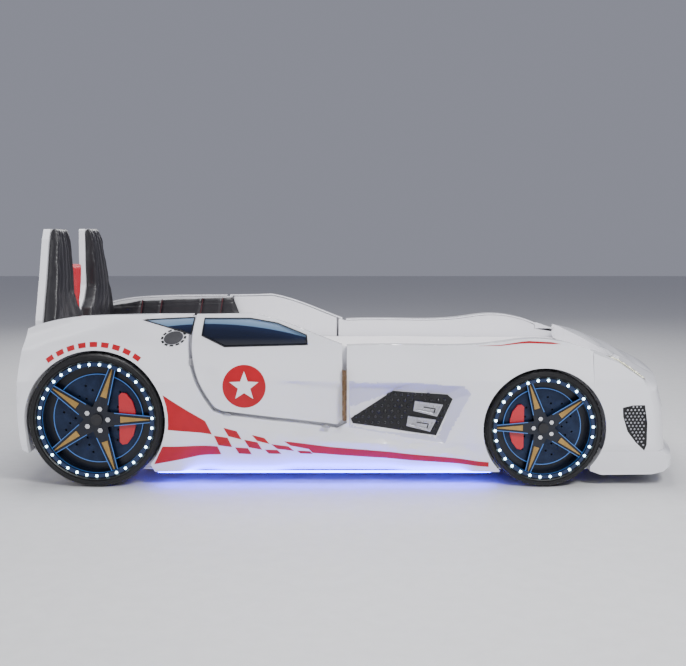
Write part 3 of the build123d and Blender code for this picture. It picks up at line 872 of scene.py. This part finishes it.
def arch_dashes(side):
    """A row of red dashes over the rear wheel."""
    inner, outer = 0.250, 0.267
    for index in range(9):
        a = radians(128 - index * 8.6)
        b = a - radians(5.6)
        corners = ((inner, a), (outer, a), (outer, b), (inner, b))
        dash = [on_circle(REAR_AXLE, REAR_HUB_Z, r, angle) for r, angle in corners]
        film(f"arch_dash_{index + 1}", dash, FILM, "bed", side)


def films():
    for side in SIDES:
        fender_film(side)
        sill_films(side)
        roundel(side)
        arch_dashes(side)


# ---- soft goods -----------------------------------------------------------------------------------
def stuffed(name, node_name, mat, voxel, pressure, most):
    """A padded piece: the CAD shape's cover, rounded and blown up against its filling."""
    obj = new_object(name, copy_of(node_name), mat, "bed")
    remesh = obj.modifiers.new("even_mesh", "REMESH")
    remesh.mode = "VOXEL"
    remesh.voxel_size = voxel
    apply_modifiers(obj)
    bm = bmesh.new()
    bm.from_mesh(obj.data)
    every_way = {"use_axis_x": True, "use_axis_y": True, "use_axis_z": True}
    for turn in range(6):
        bmesh.ops.smooth_vert(bm, verts=bm.verts, factor=0.5, **every_way)
    bm.to_mesh(obj.data)
    bm.free()
    inflate(obj, pressure, most)
    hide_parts(node_name)
    return obj


def inflate(obj, pressure, most, frames=20):
    """Cloth under pressure for some frames; no point moves further than most."""
    before = [vert.co.copy() for vert in obj.data.vertices]
    cloth = obj.modifiers.new("cover", "CLOTH")
    cloth.settings.quality = 4
    cloth.settings.mass = 0.15
    cloth.settings.tension_stiffness = 18
    cloth.settings.compression_stiffness = 18
    cloth.settings.bending_stiffness = 0.6
    cloth.settings.use_pressure = True
    cloth.settings.uniform_pressure_force = pressure
    cloth.settings.effector_weights.gravity = 0
    cloth.point_cache.frame_start = 1
    cloth.point_cache.frame_end = frames
    for frame_number in range(1, frames + 1):
        bpy.context.scene.frame_set(frame_number)
    apply_modifiers(obj)
    bpy.context.scene.frame_set(1)
    for vert, start in zip(obj.data.vertices, before):
        shift = vert.co - start
        if shift.length > most:
            vert.co = start + shift * (most / shift.length)


def shape(obj, move):
    """Moves every point of a cover by a function of its place and normal."""
    normals = [vert.normal.copy() for vert in obj.data.vertices]
    for vert, normal in zip(obj.data.vertices, normals):
        vert.co += move(vert.co, normal)
    subdivide(obj, 1)
    return smooth(obj, 180)


def between(points, value):
    """Straight-line reading of a table of (value, result) pairs in rising order."""
    for (v0, r0), (v1, r1) in zip(points, points[1:]):
        if value <= v1:
            return mix(r0, r1, min(max((value - v0) / (v1 - v0), 0), 1))
    return points[-1][1]


def groove(distance, width, depth):
    """The depth of a soft groove at a distance from its line."""
    return depth * exp(-(distance / width) ** 2)


# the seat's two edges: how far each lies from the seat's middle at a height
OUTBOARD = [(0.432, 0.200), (0.560, 0.195), (0.700, 0.140), (0.840, 0.092), (0.880, 0.068)]
INBOARD = [(0.432, -0.200), (0.560, -0.168), (0.600, -0.112), (0.650, -0.076), (0.760, -0.076),
           (0.880, -0.068)]


def seat_press(point, normal):
    """Side bolsters round a sunk middle, with long folds that run from the foot to the top."""
    out = abs(point.y) - SEAT_Y
    low, high = between(INBOARD, point.z), between(OUTBOARD, point.z)
    edge = min(high - out, out - low, SEAT_TOP - point.z)
    part = (out - low) / (high - low)
    front = max(normal.x, 0.0)
    depth = 0.007 * step(0.020, 0.045, edge)
    for fold, width in ((0.20, 0.055), (0.38, 0.040), (0.60, 0.040), (0.82, 0.055)):
        depth += groove(part - fold, width, 0.007) * step(0.010, 0.030, edge)
    pleat = 0.5 + 0.22 * (point.z - 0.43) / 0.2
    depth += groove(part - pleat, 0.03, 0.006) * (1 - step(0.58, 0.66, point.z))
    crumple = 0.0018 * wander.noise(point * 22)
    rise = 0.006 * step(0.80, 0.87, point.z)
    return Vector((-depth * front, 0, rise)) + normal * crumple


def centre_press(point, normal):
    """Two upright seams and one across."""
    front = max(normal.x, 0.0)
    depth = groove(abs(point.y) - 0.012, 0.003, 0.003) + groove(point.z - 0.60, 0.003, 0.003)
    return Vector((-depth * front, 0, 0)) + normal * 0.0012 * wander.noise(point * 30)


CHANNELS = [((-0.943, 0.413), (-0.918, 0.569)), ((-0.861, 0.413), (-0.833, 0.572)),
            ((-0.685, 0.413), (-0.656, 0.576)), ((-0.597, 0.413), (-0.569, 0.578))]
PADDING_FACE = 0.4405             # where the channels' cords lie


def off_line(x, z, ends):
    """How far x, z lies from the line through two ends."""
    (x0, z0), (x1, z1) = ends
    return ((x - x0) * (z1 - z0) - (z - z0) * (x1 - x0)) / hypot(x1 - x0, z1 - z0)


def quilt_press(point, normal):
    """Slanted channels across the inner face, and a seam along the top."""
    inward = abs(normal.y) if abs(point.y) < 0.449 else 0.0
    top = 0.585 - 0.04 * max(-0.52 - point.x, 0)
    depth = sum(groove(off_line(point.x, point.z, ends), 0.006, 0.006) for ends in CHANNELS)
    depth += groove(top - 0.024 - point.z, 0.003, 0.003)
    way = 1 if point.y > 0 else -1
    return Vector((0, way * depth * inward, 0)) + normal * 0.0012 * wander.noise(point * 26)


def mattress_press(point, normal):
    """A fitted cover: a slight crown, gathers at the corners and soft ripples."""
    half_length = (MATTRESS_FRONT - MATTRESS_BACK) / 2
    along = (MATTRESS_FRONT - point.x) * (point.x - MATTRESS_BACK) / half_length ** 2
    crown = 0.004 * max(min(along, 1), 0)
    corner = step(0.34, 0.44, abs(point.y)) * (step(0.78, 0.87, point.x) + step(-0.90, -1.0, point.x))
    gather = 0.0025 * corner * sin(point.z * 160 + 40 * point.x)
    ripple = 0.0022 * wander.noise(Vector((point.x * 5, point.y * 7, point.z * 4)))
    lift = crown if normal.z > 0.5 else 0.0
    return normal * (ripple + gather) + Vector((0, 0, lift))


def pipings():
    """Cords sewn into the channels of the side paddings, their dark red a painted highlight, and round the
    mattress.
    """
    for side, sign in SIDES.items():
        for index, ends in enumerate(CHANNELS):
            path = dense([ends[0], ends[1]], 0.01, False)
            points = [Vector((x, sign * PADDING_FACE, z)) for x, z in path]
            tube(f"{side}_padding_piping_{index + 1}", points, 0.0024, PIPING_AND_HIGHLIGHT, "bed", False)
    corner = 0.022
    front, back, half = MATTRESS_FRONT - corner, MATTRESS_BACK + corner, MATTRESS_HALF - corner
    for name, z in (("upper", 0.4015), ("lower", 0.2665)):
        loop = []
        for start, (x, y) in enumerate(((front, half), (back, half), (back, -half), (front, -half))):
            turn = [(start + k / 6) * pi / 2 for k in range(7)]
            loop += [Vector((x + corner * cos(a), y + corner * sin(a), z)) for a in turn]
        tube(f"mattress_{name}_tape", loop, 0.0042, TAPE, "bed")


def soft_goods():
    for side in SIDES:
        name = f"{side}_seat_cushion"
        cushion = stuffed(f"{name}_cover", name, LEATHER,
                          voxel=0.006, pressure=4.0, most=0.010)
        shape(cushion, seat_press)
    centre = stuffed("seat_centre_cover", "seat_centre_pad", RED_LEATHER,
                     voxel=0.005, pressure=4.0, most=0.006)
    shape(centre, centre_press)
    paddings = stuffed("side_padding_covers", "side_paddings", LEATHER,
                       voxel=0.005, pressure=3.0, most=0.005)
    shape(paddings, quilt_press)
    mattress = stuffed("mattress_cover", "mattress", CLOTH,
                       voxel=0.014, pressure=2.0, most=0.006)
    shape(mattress, mattress_press)
    pipings()
    paint("seat_shells", WHITE, 0.009).modifiers["edge_round"].segments = 4


# ---- room, light and camera --------------------------------------------------------------------------
def floor():
    bm = bmesh.new()
    bmesh.ops.create_grid(bm, x_segments=2, y_segments=2, size=14)
    pale = rough_plastic("floor_pale", (0.62, 0.62, 0.63), (0.65, 0.65, 0.66), 0.6)
    new_object("floor", bm, pale, None)


# each soft box: its name, place, size in metres and power in watts
LIGHTS = [("key", (1.6, -3.4, 3.4), 1.2, 190), ("fill", (-3.4, -2.6, 1.8), 2.4, 40),
          ("top", (-0.2, 0.3, 3.8), 2.6, 150), ("back", (-0.5, 3.8, 2.6), 2.4, 80)]


def studio():
    world = bpy.data.worlds.new("studio")
    bpy.context.scene.world = world
    world.use_nodes = True
    world.node_tree.nodes["Background"].inputs["Color"].default_value = (0.78, 0.80, 0.96, 1)
    world.node_tree.nodes["Background"].inputs["Strength"].default_value = 0.34
    aim = Vector((0, 0, 0.3))
    for name, place, size, power in LIGHTS:
        data = bpy.data.lights.new(name, "AREA")
        data.size = size
        data.energy = power
        lamp = bpy.data.objects.new(name, data)
        lamp.location = place
        lamp.rotation_euler = (aim - Vector(place)).to_track_quat("-Z", "Y").to_euler()
        bpy.context.scene.collection.objects.link(lamp)


def camera():
    """The viewpoint: level with the seat tops, beside the car, pitched down a little."""
    data = bpy.data.cameras.new("camera")
    data.sensor_width = 36
    data.lens = 50.6
    data.clip_end = 100
    cam = bpy.data.objects.new("camera", data)
    cam.location = (-0.046, -3.751, 0.880)
    cam.rotation_euler = (radians(90 - 6.216), 0, 0)
    bpy.context.scene.collection.objects.link(cam)
    bpy.context.scene.camera = cam


body_panels()
trim()
frame_parts()
wheels()
films()
soft_goods()
floor()
studio()
camera()
